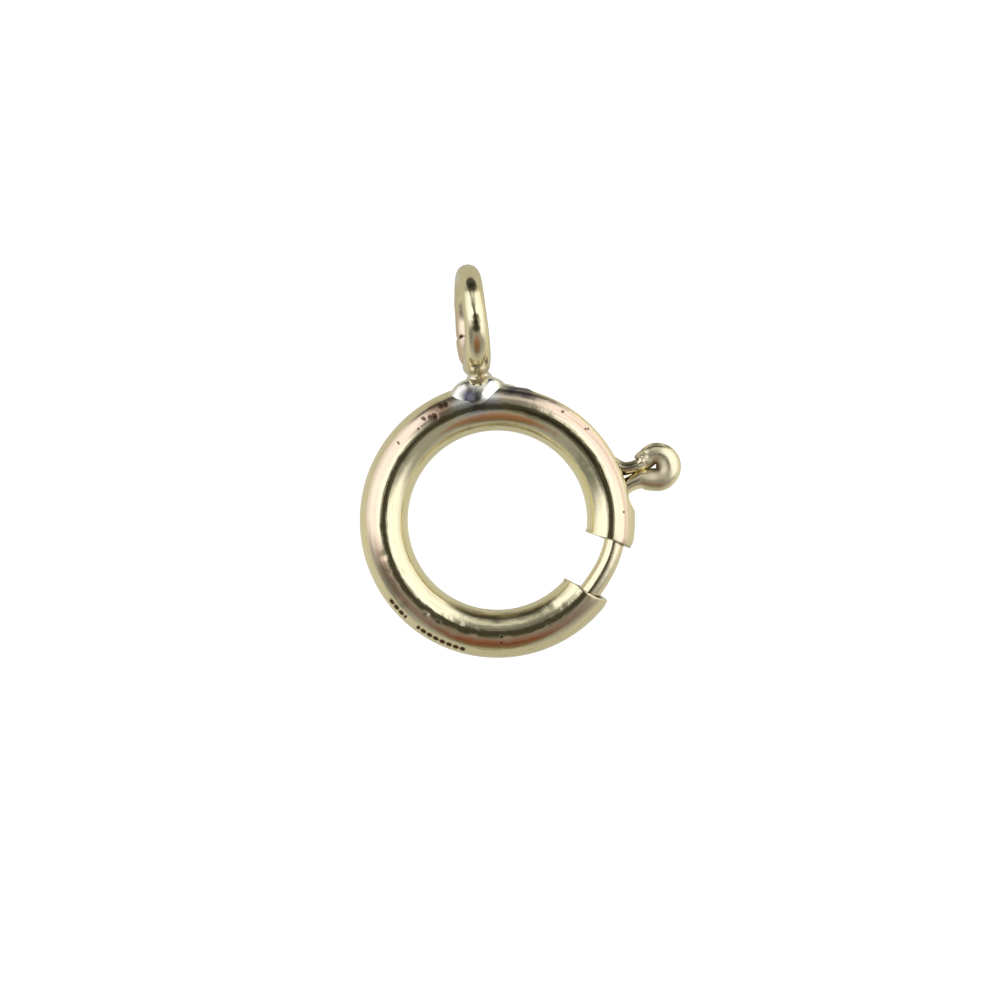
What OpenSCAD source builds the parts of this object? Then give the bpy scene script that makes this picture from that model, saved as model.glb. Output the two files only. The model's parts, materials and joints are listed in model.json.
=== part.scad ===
// Spring ring clasp, millimetres, lying as it rests on a flat surface.
// The ring's centre is the origin, +Y runs towards the chain loop and +Z is up.
// Azimuths are measured about the ring's own axis, from +X towards the loop at 90.

/* [Ring tube] */
// Outside diameter of the ring
ring_od = 8; // [7:0.1:10]
// Outside diameter of the tube that the ring is bent from
tube_od = 1.4; // [1.25:0.05:1.7]
// Wall thickness of the tube
tube_wall = 0.2; // [0.14:0.01:0.24]

/* [Gap] */
// Azimuth of the middle of the gap
gap_at = -31.5; // [-40:0.5:-26]
// Width of the gap on the tube's centre line
gap_w = 1.6; // [1.2:0.1:2]
// Angle at which the two cut faces open outwards
gap_flare = 8; // [0:1:14]

/* [Slot] */
// Width of the slot in the outer side of the tube
slot_w = 0.82; // [0.76:0.02:0.9]
// Length of straight slot left behind the trigger when the tongue is shut
slot_behind = 0.15; // [0.1:0.05:0.3]
// Length of straight slot left ahead of the trigger when the tongue is drawn back
slot_ahead = 0.8; // [0.5:0.1:1]

/* [Stops inside the tube] */
// Azimuth of the dent that the spring pushes against
spring_stop_at = 122; // [115:1:135]
// Length of each dent along the tube
stop_len = 0.4; // [0.3:0.05:0.6]
// Share of the bore's diameter that a dent leaves open
stop_open = 0.3; // [0.2:0.05:0.4]

/* [Chain loop] */
// Outside diameter of the loop
loop_od = 3.3; // [2.8:0.1:3.8]
// Diameter of the loop's wire
loop_wire = 0.64; // [0.5:0.02:0.8]
// Distance from the ring to the loop, bridged by the solder
loop_lift = 0.18; // [0.1:0.02:0.3]
// Angle that the loop leans out of the ring's cross plane
loop_lean = 5.5; // [0:0.5:10]

/* [Solder] */
// Radius of the two solder lobes at the sides of the loop's foot
lobe_r = 0.5; // [0.4:0.02:0.6]
// Distance from the middle of the joint to each lobe's middle
lobe_out = 0.38; // [0.3:0.02:0.5]
// Depth of a lobe's middle under the ring's outer edge
lobe_sink = 0.28; // [0.2:0.02:0.36]
// Thickness of the solder that wraps the loop's foot
foot_coat = 0.1; // [0.05:0.01:0.15]

/* [Tongue] */
// Diameter of the tongue's wire
tongue_wire = 0.58; // [0.5:0.02:0.64]
// Clearance between the tongue and the outer side of the bore
tongue_clear = 0.08; // [0.05:0.01:0.12]
// Length of the tongue inside the far mouth of the tube when it is shut
tip_in = 0.5; // [0.3:0.05:0.8]
// Clearance between the tongue's tip and the dent that stops it
tip_clear = 0.04; // [0.02:0.01:0.1]

/* [Trigger] */
// Azimuth of the trigger when the tongue is shut
trigger_at = 11; // [10:0.5:13]
// Gap between the ring's outer edge and the near side of the trigger's eye
eye_gap = 0.195; // [0.12:0.005:0.4]
// Diameter of the wire round the eye
eye_wire = 0.62; // [0.56:0.02:0.66]
// Diameter of the hole through the eye
eye_hole = 0.15; // [0.1:0.01:0.3]
// Thickness of each flattened leg of the neck, along the ring
leg_t = 0.46; // [0.4:0.01:0.5]
// Clearance between a leg and each side of the slot
leg_clear = 0.06; // [0.04:0.01:0.1]
// Inside radius of the bends from the legs into the tube
bend_in = 0.4; // [0.3:0.02:0.45]
// Length of the heel that carries the spring
heel_len = 0.22; // [0.15:0.01:0.4]

/* [Spring] */
// Diameter of the spring's wire
spring_wire = 0.12; // [0.09:0.01:0.14]
// Clearance between the spring and the bore
spring_clear = 0.06; // [0.04:0.01:0.1]
// Clearance between the spring and what it bears on at each end
spring_end_clear = 0.03; // [0.02:0.01:0.06]
// Number of turns
spring_turns = 16; // [12:1:20]

/* [Hidden] */
$fn = 64;

// Steps round a turn of the spring, and sides of its wire
turn_steps = 12;
wire_sides = 6;
// Share of a leg's thickness by which the two legs are pressed together
leg_press = 0.04;
// Length by which the pieces of one bent wire run into each other
wire_lap = 0.06;
// Reach of the cutters past what they cut
spill = 0.3;

tube_r = tube_od / 2;
bore_r = tube_r - tube_wall;
ring_r = ring_od / 2 - tube_r;
tongue_r = ring_r + bore_r - tongue_clear - tongue_wire / 2;

loop_r = (loop_od - loop_wire) / 2;
loop_y = ring_od / 2 + loop_lift + loop_od / 2;

// Angle in degrees of an arc with this length and radius
function arc_angle(length, radius) = length / radius * 180 / PI;

// Turn from the middle of the gap to where a cut face meets the tube's centre line
gap_half = arc_angle(gap_w / 2, ring_r);
tip_at = gap_at - gap_half - arc_angle(tip_in, tongue_r);
tip_stop_at = tip_at - arc_angle(tip_clear + stop_len / 2, tongue_r);
// Turn that draws the tongue's tip back to the near face of the gap
draw_back = gap_at + gap_half - tip_at;

// The trigger's own frame has u outwards along its neck and v along the ring
eye_r = (eye_hole + eye_wire) / 2;
eye_u = ring_od / 2 + eye_gap + eye_hole / 2 + eye_wire;
leg_w = slot_w - 2 * leg_clear;
leg_v = leg_t * (1 / 2 - leg_press);
bend_r = bend_in + leg_t / 2;
bend_v = leg_v + bend_r;
bend_u = sqrt(pow(tongue_r + bend_r, 2) - pow(bend_v, 2));
bend_turn = atan2(bend_v, bend_u);
heel_turn = arc_angle(heel_len, tongue_r);

// Azimuths of the centres of the slot's two round ends
neck_half = leg_v + leg_t / 2;
slot_from = trigger_at - arc_angle(neck_half + slot_behind, ring_od / 2);
slot_to = trigger_at + draw_back + arc_angle(neck_half + slot_ahead, ring_od / 2);

coil_r = bore_r - spring_clear - spring_wire / 2;
spring_from = trigger_at + bend_turn + heel_turn
            + arc_angle(spring_end_clear + spring_wire / 2, tongue_r);
spring_to = spring_stop_at
          - arc_angle(stop_len / 2 + spring_end_clear + spring_wire / 2, ring_r);

// The clasp lies on the loop's lowest point and on the side of the ring that is
// furthest from it, so the ring leans by the angle that puts both on one plane.
function loop_drop(tilt) = loop_wire / 2
    + loop_r * sqrt(pow(sin(tilt), 2) + pow(cos(loop_lean) * cos(tilt), 2));
function lean_for(tilt) = asin((loop_drop(tilt) - tube_r) / (loop_y + ring_r));
lie_tilt = lean_for(lean_for(0));

module lying() {
    rotate([lie_tilt, 0, 0]) children();
}

// Solid of revolution about the ring's axis, from one azimuth to another
module ring_sweep(from, to, radius) {
    rotate([0, 0, from])
        rotate_extrude(angle = to - from)
            translate([radius, 0]) children();
}

// Flat outline with round ends that a leg's wire was pressed to
module leg_section() {
    square([leg_t, leg_w - leg_t], center = true);
    for (side = [-1, 1])
        translate([0, side * (leg_w - leg_t) / 2]) circle(d = leg_t);
}

// Dent in the tube's wall that fills most of the bore, from the side given:
// 1 fills it from the outside of the ring and -1 from the inside
module dent(at, side) {
    reach = stop_len / 2;
    height = 2 * bore_r * (1 - stop_open);
    ring_sweep(at - arc_angle(reach, ring_r), at + arc_angle(reach, ring_r), ring_r)
        translate([side * (bore_r - height / 2 + spill / 2), 0])
            square([height + spill, 2 * (bore_r + spill)], center = true);
}

module bore() {
    difference() {
        rotate_extrude() translate([ring_r, 0]) circle(r = bore_r);
        dent(tip_stop_at, 1);
        dent(spring_stop_at, -1);
    }
}

// Wedge whose two faces stand gap_w apart on the tube's centre line
module gap_cut() {
    reach = tube_r + spill;
    near = gap_w / 2 - reach * tan(gap_flare / 2);
    far = gap_w / 2 + reach * tan(gap_flare / 2);
    rotate([0, 0, gap_at])
        linear_extrude(height = 2 * reach, center = true)
            polygon([[ring_r - reach, -near], [ring_r + reach, -far],
                     [ring_r + reach, far], [ring_r - reach, near]]);
}

module slot_cut() {
    depth = tube_r + spill;
    ring_sweep(slot_from, slot_to, ring_r + depth / 2)
        square([depth, slot_w], center = true);
    for (at = [slot_from, slot_to])
        rotate([0, 90, at]) translate([0, 0, ring_r]) cylinder(d = slot_w, h = depth);
}

module chain_loop() {
    translate([0, loop_y, 0]) rotate([0, 90 + loop_lean, 0])
        rotate_extrude() translate([loop_r, 0]) circle(d = loop_wire);
}

module solder() {
    for (side = [-1, 1])
        translate([side * lobe_out, ring_od / 2 - lobe_sink, 0]) sphere(r = lobe_r);
    translate([0, ring_od / 2 + loop_lift, 0]) sphere(r = loop_wire / 2 + foot_coat);
}

module ring_and_loop() {
    color("#d9cb94") lying() difference() {
        union() {
            rotate_extrude() translate([ring_r, 0]) circle(d = tube_od);
            chain_loop();
            solder();
        }
        bore();
        gap_cut();
        slot_cut();
    }
}

// Bend from one leg of the neck into the tube, on the side given in v
module neck_bend(side) {
    translate([bend_u, side * bend_v, 0])
        rotate([0, 0, side > 0 ? 180 + bend_turn : 90])
            rotate_extrude(angle = 90 - bend_turn)
                translate([bend_r, 0]) leg_section();
}

module neck_leg(side) {
    translate([bend_u, side * leg_v, 0]) rotate([90, 0, 90])
        linear_extrude(height = eye_u - eye_r - bend_u + leg_t / 2) leg_section();
}

// Wire ring at the end of the neck, open where the two legs leave it
module eye() {
    open = asin(leg_v / eye_r);
    translate([eye_u, 0, 0]) rotate([0, 0, open - 180])
        rotate_extrude(angle = 360 - 2 * open)
            translate([eye_r, 0]) circle(d = eye_wire);
}

// Half ball that closes the tongue's free end
module tip() {
    rotate([90, 0, 0]) rotate_extrude() intersection() {
        circle(d = tongue_wire);
        square(tongue_wire / 2);
    }
}

module tongue_and_trigger() {
    round_from = tip_at + arc_angle(tongue_wire / 2, tongue_r);
    in_bend = bend_turn - arc_angle(wire_lap, tongue_r);
    color("#e0d19a") lying() {
        rotate([0, 0, round_from]) translate([tongue_r, 0, 0]) tip();
        ring_sweep(round_from, trigger_at - in_bend, tongue_r)
            circle(d = tongue_wire);
        ring_sweep(trigger_at + in_bend, trigger_at + bend_turn + heel_turn, tongue_r)
            circle(d = tongue_wire);
        rotate([0, 0, trigger_at]) {
            for (side = [-1, 1]) {
                neck_bend(side);
                neck_leg(side);
            }
            eye();
        }
    }
}

// Middle of the spring's wire, i turns from its start
function coil_axis(i) = let (at = spring_from + (spring_to - spring_from) * i / spring_turns)
    [cos(at), sin(at), 0];
function coil_out(i) = coil_axis(i) * cos(360 * i) + [0, 0, sin(360 * i)];
function coil_middle(i) = coil_axis(i) * ring_r + coil_out(i) * coil_r;
function unit(v) = v / norm(v);

// Ring of points round the wire, square to its run
function wire_ring(i) = let (
        step = 1 / turn_steps / 2,
        along = unit(coil_middle(i + step) - coil_middle(i - step)),
        across = unit(cross(along, coil_out(i))),
        out = cross(across, along))
    [for (k = [0 : wire_sides - 1]) coil_middle(i)
        + (out * cos(360 * k / wire_sides) + across * sin(360 * k / wire_sides)) * spring_wire / 2];

module coil_spring() {
    rings = spring_turns * turn_steps;
    points = [for (n = [0 : rings]) each wire_ring(n / turn_steps)];
    near_end = [for (k = [0 : wire_sides - 1]) k];
    far_end = [for (k = [wire_sides - 1 : -1 : 0]) rings * wire_sides + k];
    skin = [for (n = [0 : rings - 1], k = [0 : wire_sides - 1])
        let (a = n * wire_sides + k, b = n * wire_sides + (k + 1) % wire_sides)
        each [[a, a + wire_sides, b], [b, a + wire_sides, b + wire_sides]]];
    color("#b9bcc0") lying()
        polyhedron(points = points, faces = concat([near_end, far_end], skin));
}

ring_and_loop();
tongue_and_trigger();
coil_spring();
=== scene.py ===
"""Dresses the spring ring clasp: its metal, its solder, its spring and the light round it."""

import json
from math import asin, atan2, copysign, cos, degrees, exp, hypot, pi, radians, sin, sqrt

import bmesh
import bpy
from bpy.props import FloatProperty, FloatVectorProperty, IntProperty, PointerProperty
from mathutils import Matrix, Vector


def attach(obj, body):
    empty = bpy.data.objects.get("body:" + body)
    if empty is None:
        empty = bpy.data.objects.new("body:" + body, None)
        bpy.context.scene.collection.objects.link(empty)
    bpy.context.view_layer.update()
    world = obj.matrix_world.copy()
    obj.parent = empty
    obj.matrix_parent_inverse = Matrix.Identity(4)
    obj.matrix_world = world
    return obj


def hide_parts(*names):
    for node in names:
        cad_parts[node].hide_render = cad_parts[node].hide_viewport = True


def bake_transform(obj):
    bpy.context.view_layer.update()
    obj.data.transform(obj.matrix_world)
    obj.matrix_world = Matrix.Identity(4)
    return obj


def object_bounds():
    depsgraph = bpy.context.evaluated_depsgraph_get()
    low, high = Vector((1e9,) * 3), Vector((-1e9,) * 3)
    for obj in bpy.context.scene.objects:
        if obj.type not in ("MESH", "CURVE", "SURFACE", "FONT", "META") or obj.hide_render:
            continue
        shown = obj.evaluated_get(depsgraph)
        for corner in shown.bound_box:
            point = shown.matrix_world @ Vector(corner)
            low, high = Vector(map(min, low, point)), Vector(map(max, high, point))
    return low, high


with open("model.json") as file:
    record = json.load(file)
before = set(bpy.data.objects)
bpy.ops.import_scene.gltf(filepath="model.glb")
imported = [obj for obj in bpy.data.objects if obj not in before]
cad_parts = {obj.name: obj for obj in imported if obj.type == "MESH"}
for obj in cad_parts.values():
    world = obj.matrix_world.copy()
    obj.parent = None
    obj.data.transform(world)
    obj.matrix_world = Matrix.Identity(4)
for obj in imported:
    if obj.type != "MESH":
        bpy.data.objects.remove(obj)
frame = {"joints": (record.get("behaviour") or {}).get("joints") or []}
cad_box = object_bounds()

bl_info = {
    "name": "Spring ring clasp",
    "version": (1, 0, 0),
    "blender": (4, 5, 0),
    "location": "View3D > Sidebar > Clasp",
    "description": "Builds the dressed pieces of a spring ring clasp over its packed frame",
    "category": "Add Mesh",
}

MM = 0.001
DRAW = frame["joints"][0]
LEAN = atan2(-DRAW["axis"][1], DRAW["axis"][2])


def length(name, description, millimetres):
    """A length that the sidebar shows in the scene's own unit."""
    return FloatProperty(name=name, description=description, default=millimetres * MM,
                         min=0.0, unit="LENGTH", precision=5)


def turn(name, description, angle):
    """An angle that the sidebar shows in degrees."""
    return FloatProperty(name=name, description=description, default=radians(angle),
                         subtype="ANGLE", unit="ROTATION")


def paint(name, description, colour):
    """A metal's colour, or a stain's."""
    return FloatVectorProperty(name=name, description=description, default=colour,
                               subtype="COLOR", size=3, min=0.0, max=1.0)


class ClaspSizes(bpy.types.PropertyGroup):
    """Lengths and azimuths of the clasp."""

    ring_od: length("Ring", "Outside diameter of the ring", 8.0)
    tube_od: length("Tube", "Outside diameter of the ring's tube", 1.4)
    tube_wall: length("Tube wall", "Thickness of the tube's wall", 0.2)
    gap_at: turn("Gap", "Azimuth of the middle of the gap", -31.5)
    gap_w: length("Gap width", "Width of the gap on the tube's centre line", 1.6)
    gap_flare: turn("Gap flare", "Angle at which the two cut faces open outwards", 8.0)
    slot_w: length("Slot width", "Width of the slot that the trigger runs in", 0.82)
    slot_from: turn("Slot start", "Azimuth of the slot's near round end", 2.526)
    slot_to: turn("Slot finish", "Azimuth of the slot's far round end", 64.917)
    cut_edge: length("Sawn edge", "Width of the worn edge round the gap and the slot", 0.035)
    tip_dent: turn("Tip's dent", "Azimuth of the dent that stops the tongue's tip", -57.751)
    spring_dent: turn("Spring's dent", "Azimuth of the dent that the spring bears on", 122.0)
    loop_od: length("Loop", "Outside diameter of the chain loop", 3.3)
    loop_wire: length("Loop wire", "Diameter of the chain loop's wire", 0.64)
    loop_lift: length("Loop lift", "Distance from the ring to the loop", 0.18)
    loop_lean: turn("Loop lean", "Lean of the loop out of the ring's cross plane", 5.5)
    loop_joint: turn("Loop joint", "Place of the butt joint round the loop", 250.0)
    loop_edge: length("Joint edge", "Width of the worn edge of the loop's two ends", 0.03)
    tongue_wire: length("Tongue wire", "Diameter of the tongue's wire", 0.58)
    tongue_out: length("Tongue radius", "Radius that the tongue's wire is bent to", 3.43)
    tip_at: turn("Tongue tip", "Azimuth of the tongue's tip", -53.742)
    tip_edge: length("Tip rounding", "Width of the rounded edge of the wire's two ends", 0.09)
    trigger_at: turn("Trigger", "Azimuth of the trigger", 11.0)
    spring_wire: length("Spring wire", "Diameter of the spring's wire", 0.12)
    spring_out: length("Coil radius", "Radius of the coil, to the middle of its wire", 0.38)
    spring_from: turn("Spring start", "Azimuth where the spring bears on the tongue", 28.142)
    spring_to: turn("Spring finish", "Azimuth where the spring bears on the tube's dent", 116.965)
    spring_turns: IntProperty(name="Turns", description="Number of turns of the spring",
                              default=16, min=4, max=40)


class ClaspColours(bpy.types.PropertyGroup):
    """Colours of the metal, its stains and the shade painted on it."""

    gold: paint("Pale gold", "Polished gold face of the ring", (0.86, 0.79, 0.51))
    wire_gold: paint("Wire gold", "Gold of the tongue and the trigger", (0.86, 0.78, 0.52))
    solder: paint("Solder", "Bright silvery solder", (0.90, 0.88, 0.76))
    rose: paint("Rose film", "Pinkish film on the gold", (0.83, 0.67, 0.49))
    salmon: paint("Salmon line", "Thin line of stronger colour by the slot", (0.70, 0.49, 0.32))
    mauve: paint("Mauve film", "Purplish film on the lower outer side", (0.62, 0.44, 0.29))
    silver: paint("Silvery film", "Solder drawn thinly over the gold", (0.80, 0.80, 0.76))
    # Dark colour used as painted shade on the trigger, on the loop's crest and in dark strips of
    # the ring, and for the ring's real scuffs
    painted_shade_and_scuffs: paint("Painted shade and scuffs", "Dark colour painted as shade on the ring, the loop and the trigger, and of the ring's scuffs", (0.16, 0.14, 0.07))
    # Used for the torch's stain and a darker outer edge on the ring, and as painted shade in the
    # cleft of the solder
    heat_stain_and_shade: paint("Heat stain and shade", "Dark grey of the torch's stain, and of shade painted in the solder's cleft", (0.12, 0.12, 0.14))
    # Used for pits, brown spots and punched dots, and as painted shade inside the bore, on the
    # sawn faces at the mouths and in the trigger's eye
    tarnish_and_shade: paint("Brown tarnish", "Brown in the pits and punched dots, and painted as shade in the bore, the sawn mouths and the trigger's eye", (0.10, 0.045, 0.02))
    steel: paint("Spring steel", "Bright spring wire", (0.56, 0.56, 0.58))
    scuffed_steel: paint("Scuffed steel", "Fine lines on the spring wire", (0.30, 0.29, 0.28))


def mm(value):
    """The number of millimetres in a length property."""
    return value / MM


def tube_middle(s):
    """Radius of the tube's centre line."""
    return mm(s.ring_od - s.tube_od) / 2


def tube_bore(s):
    """Radius of the inside of the tube."""
    return mm(s.tube_od) / 2 - mm(s.tube_wall)


def out_to(azimuth, radius, height=0.0):
    """Point of the ring's own frame at an azimuth in degrees and a radius."""
    a = radians(azimuth)
    return Vector((radius * cos(a), radius * sin(a), height))


def azimuth_of(x, y, start=0.0):
    """Azimuth of a point in degrees, from a start up to 360."""
    return (degrees(atan2(y, x)) - start) % 360


def smooth(value, low, high):
    """Rises smoothly from 0 at low to 1 at high."""
    t = min(1.0, max(0.0, (value - low) / (high - low)))
    return t * t * (3.0 - 2.0 * t)


def new_mesh():
    """An empty bmesh that remembers how far along its wire each vertex is."""
    bm = bmesh.new()
    bm.verts.layers.float_vector.new("along")
    return bm


def put_in_scene(bm, name, material):
    """Makes an object of a mesh, at the origin."""
    mesh = bpy.data.meshes.new(name)
    bm.to_mesh(mesh)
    bm.free()
    mesh.materials.append(material)
    made = bpy.data.objects.new(name, mesh)
    bpy.context.scene.collection.objects.link(made)
    return made


def finish_piece(bm, name, material, body, nodes):
    """Lays a mesh made in the ring's frame, in millimetres, where the clasp lies."""
    lying = Matrix.Rotation(LEAN, 4, "X") @ Matrix.Scale(MM, 4)
    bmesh.ops.transform(bm, matrix=lying, verts=bm.verts)
    bmesh.ops.recalc_face_normals(bm, faces=bm.faces)
    for face in bm.faces:
        face.smooth = True
    piece = put_in_scene(bm, name, material)
    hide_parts(*nodes)
    if body:
        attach(piece, body)
    return piece


def once(found):
    """What was found, each once and in its first order."""
    return list(dict.fromkeys(found))


def only(kind, found):
    """The vertices, edges or faces among what a tool has made."""
    return [g for g in found if isinstance(g, kind)]


def across_ring(at, azimuth):
    """Where a flat shape stands square to the ring, at a radius and an azimuth."""
    return (Matrix.Rotation(radians(azimuth), 4, "Z") @ Matrix.Translation((at, 0, 0))
            @ Matrix.Rotation(radians(90), 4, "X"))


def section(bm, radius, sides, at, azimuth):
    """A round section of tube or wire, square to the ring."""
    made = bmesh.ops.create_circle(bm, segments=sides, radius=radius)["verts"]
    bmesh.ops.transform(bm, matrix=across_ring(at, azimuth), verts=made)
    return made


def sweep(bm, verts, angle, steps, rise=(0, 0, 0)):
    """Spins an open section about the ring's axis, by an angle in degrees."""
    edges = once(e for v in verts for e in v.link_edges)
    bmesh.ops.spin(bm, geom=verts + edges, cent=(0, 0, 0), axis=(0, 0, 1), dvec=rise,
                   angle=radians(angle), steps=steps)


def close_ends(bm):
    """Fills every open round end."""
    bmesh.ops.holes_fill(bm, edges=[e for e in bm.edges if e.is_boundary])


def ease_edges(bm, edges, width, segments=2):
    """Rounds sharp edges as wear does."""
    bmesh.ops.bevel(bm, geom=edges, offset=width, offset_type="OFFSET", segments=segments,
                    profile=0.5, affect="EDGES", clamp_overlap=True, material=-1)


def sharp(bm):
    """Edges where two faces meet at more than 40 degrees."""
    limit = radians(40)
    return [e for e in bm.edges if len(e.link_faces) == 2 and e.calc_face_angle(0.0) > limit]


def end_edges(bm):
    """Edges round the flat ends of a wire."""
    return once(e for f in bm.faces if len(f.verts) > 4 for e in f.edges)


def draw_wire(bm, stations, sides):
    """Draws a wire through stations, each a frame, a half width and a half height."""
    layer = bm.verts.layers.float_vector["along"]
    ring = bmesh.ops.create_circle(bm, segments=sides, radius=1.0)["verts"]
    edges = once(e for v in ring for e in v.link_edges)
    before, run, last = Matrix.Identity(4), 0.0, None
    for place, width, height in stations:
        if last is not None:
            made = bmesh.ops.extrude_edge_only(bm, edges=edges)["geom"]
            ring, edges = only(bmesh.types.BMVert, made), only(bmesh.types.BMEdge, made)
            run += (place.translation - last).length
        after = place @ Matrix.Diagonal((width, height, 1.0, 1.0))
        bmesh.ops.transform(bm, matrix=after @ before.inverted(), verts=ring)
        before, last = after, place.translation.copy()
        back = place.inverted()
        for v in ring:
            local = back @ v.co
            v[layer] = (local.x, local.y, run)
    close_ends(bm)


# The ring's tube

TUBE_ROWS = 64
TUBE_COLUMNS = 360
SLOT_ROWS = 6
# How far along the tube the slot's round end moves its rows
SLOT_END_REACH = 1.1

# Which way the tube runs from each mouth, how far its upper and lower sides are sawn askew, in
# degrees, and how far its outer side is curled in
MOUTHS = [(1, 0.5, 0.05), (-1, -1.1, 0.03)]
# Degrees of tube over which the slant and the curl of a mouth end, and how far its inner side
# stands out
SLANT_REACH, CURL_REACH, INNER_LIP = 9.0, 3.0, 0.03

# Azimuth, angle round the tube, depth and reach of each dent
DENTS = [
    (205.0, 68.0, 0.012, 0.10), (225.0, 82.0, 0.020, 0.11), (232.5, 86.0, 0.016, 0.09),
    (262.0, 128.0, 0.018, 0.10), (276.0, 127.0, 0.012, 0.09), (256.0, 168.0, -0.030, 0.06),
    (240.0, 78.0, 0.010, 0.14), (251.0, 72.0, 0.010, 0.12), (289.0, 84.0, 0.010, 0.10),
    (42.0, 84.0, 0.008, 0.10), (140.0, 92.0, 0.006, 0.12), (176.0, 95.0, 0.006, 0.12),
    (24.0, 116.0, 0.012, 0.13), (30.0, 128.0, 0.010, 0.12), (47.0, 118.0, 0.008, 0.14),
    (190.0, 80.0, 0.008, 0.11), (213.0, 60.0, 0.012, 0.12), (246.0, 92.0, 0.008, 0.10),
    (268.0, 78.0, 0.010, 0.10), (296.0, 118.0, 0.010, 0.12),
    (70.5, 0.0, 0.075, 0.30), (77.0, 0.0, 0.100, 0.32),
]


def gap_face(s, side, radius):
    """Azimuth of a sawn face of the gap at a distance from the ring's axis."""
    half = s.gap_flare / 2
    reach = mm(s.gap_w) / 2 * cos(half) - tube_middle(s) * sin(half)
    return degrees(s.gap_at) + side * degrees(half + asin(reach / radius))


def between(value, knots):
    """Straight-line value at a place in a list of (place, value) pairs."""
    for (x0, y0), (x1, y1) in zip(knots, knots[1:]):
        if value <= x1:
            return y0 + (y1 - y0) * (value - x0) / (x1 - x0)
    return knots[-1][1]


def worn_mouths(s, ends, azimuth, radius, turned, rho):
    """Where sawing, bending and wear at the two mouths put a point of the tube's wall."""
    outward = cos(turned)
    for (way, askew, curled), end in zip(MOUTHS, ends):
        away = abs(azimuth - end)
        slant = gap_face(s, way, rho) + (0 if way > 0 else 360) - end
        slant += askew * sin(turned) * 2 * radius / mm(s.tube_od) * smooth(outward, -0.6, 0.2)
        azimuth += slant * (1 - smooth(away, 0, SLANT_REACH))
        curl = max(0.0, outward) ** 2 * curled - max(0.0, -outward) ** 3 * INNER_LIP
        radius -= curl * (1 - smooth(away, 0, CURL_REACH))
    return azimuth, radius


def dented(azimuth, radius, turned, rho):
    """Radius of a point of the tube's outside once it is dented."""
    for at, round_at, depth, spread in DENTS:
        off = hypot(radians(azimuth - at) * rho, (turned - radians(round_at)) * radius)
        if off < 4 * spread:
            radius -= depth * exp(-(off / spread) ** 2)
    return radius


def tube_shell(bm, s):
    """Hollow tube from one face of the gap to the other, with the trigger's slot cut in it."""
    middle, outer, bore = tube_middle(s), mm(s.tube_od) / 2, tube_bore(s)
    half_slot = mm(s.slot_w) / 2
    start = gap_face(s, 1, middle)
    finish = gap_face(s, -1, middle) + 360
    span = finish - start
    slot_from, slot_to = degrees(s.slot_from), degrees(s.slot_to)
    first = round((slot_from - start) / span * TUBE_COLUMNS)
    last = round((slot_to - start) / span * TUBE_COLUMNS)
    knots = [(0, start), (first, slot_from), (last, slot_to), (TUBE_COLUMNS, finish)]
    sweep(bm, section(bm, outer, TUBE_ROWS, middle, start), span, TUBE_COLUMNS)

    def grid(co):
        """Column and row of a vertex, and how far it is from the tube's centre line."""
        azimuth = azimuth_of(co.x, co.y, start - 5) - 5
        beyond = hypot(co.x, co.y) - middle
        row = round(degrees(atan2(co.z, beyond)) * TUBE_ROWS / 360)
        return round(azimuth / span * TUBE_COLUMNS), row, hypot(beyond, co.z)

    def in_slot(face):
        places = [grid(v.co) for v in face.verts]
        return all(abs(row) <= SLOT_ROWS and first <= column <= last for column, row, _ in places)

    bmesh.ops.delete(bm, geom=[f for f in bm.faces if in_slot(f)], context="FACES")
    bmesh.ops.recalc_face_normals(bm, faces=bm.faces)
    bmesh.ops.solidify(bm, geom=bm.faces[:], thickness=outer - bore)

    def settle(co):
        """Final place of a vertex, with the rows by the slot drawn to its edge."""
        column, row, reach = grid(co)
        outside = reach > (outer + bore) / 2
        radius = outer if outside else bore
        beside_slot = abs(row) <= SLOT_ROWS
        if beside_slot:
            height = half_slot * sin(pi / 2 * abs(row) / SLOT_ROWS)
            around = degrees(asin(height / radius))
        else:
            edge = degrees(asin(half_slot / radius))
            rest = (abs(row) - SLOT_ROWS) / (TUBE_ROWS / 2 - SLOT_ROWS)
            around = edge + (180 - edge) * rest
        turned = radians(copysign(around, row))
        azimuth = between(column, knots)
        rho = middle + radius * cos(turned)
        if beside_slot and not first < column < last:
            end, way = (slot_from, -1) if column <= first else (slot_to, 1)
            away = radians(abs(azimuth - end)) * rho
            bulge = (sqrt(max(0.0, half_slot ** 2 - height ** 2))
                     * (1 - smooth(away, 0, SLOT_END_REACH)))
            azimuth += way * degrees(atan2(bulge, rho))
        azimuth, radius = worn_mouths(s, (start, finish), azimuth, radius, turned, rho)
        if outside:
            radius = dented(azimuth, radius, turned, rho)
        return out_to(azimuth, middle + radius * cos(turned), radius * sin(turned))

    for v in bm.verts:
        v.co = settle(v.co)
    bmesh.ops.recalc_face_normals(bm, faces=bm.faces)
    ease_edges(bm, sharp(bm), mm(s.cut_edge))


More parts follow.
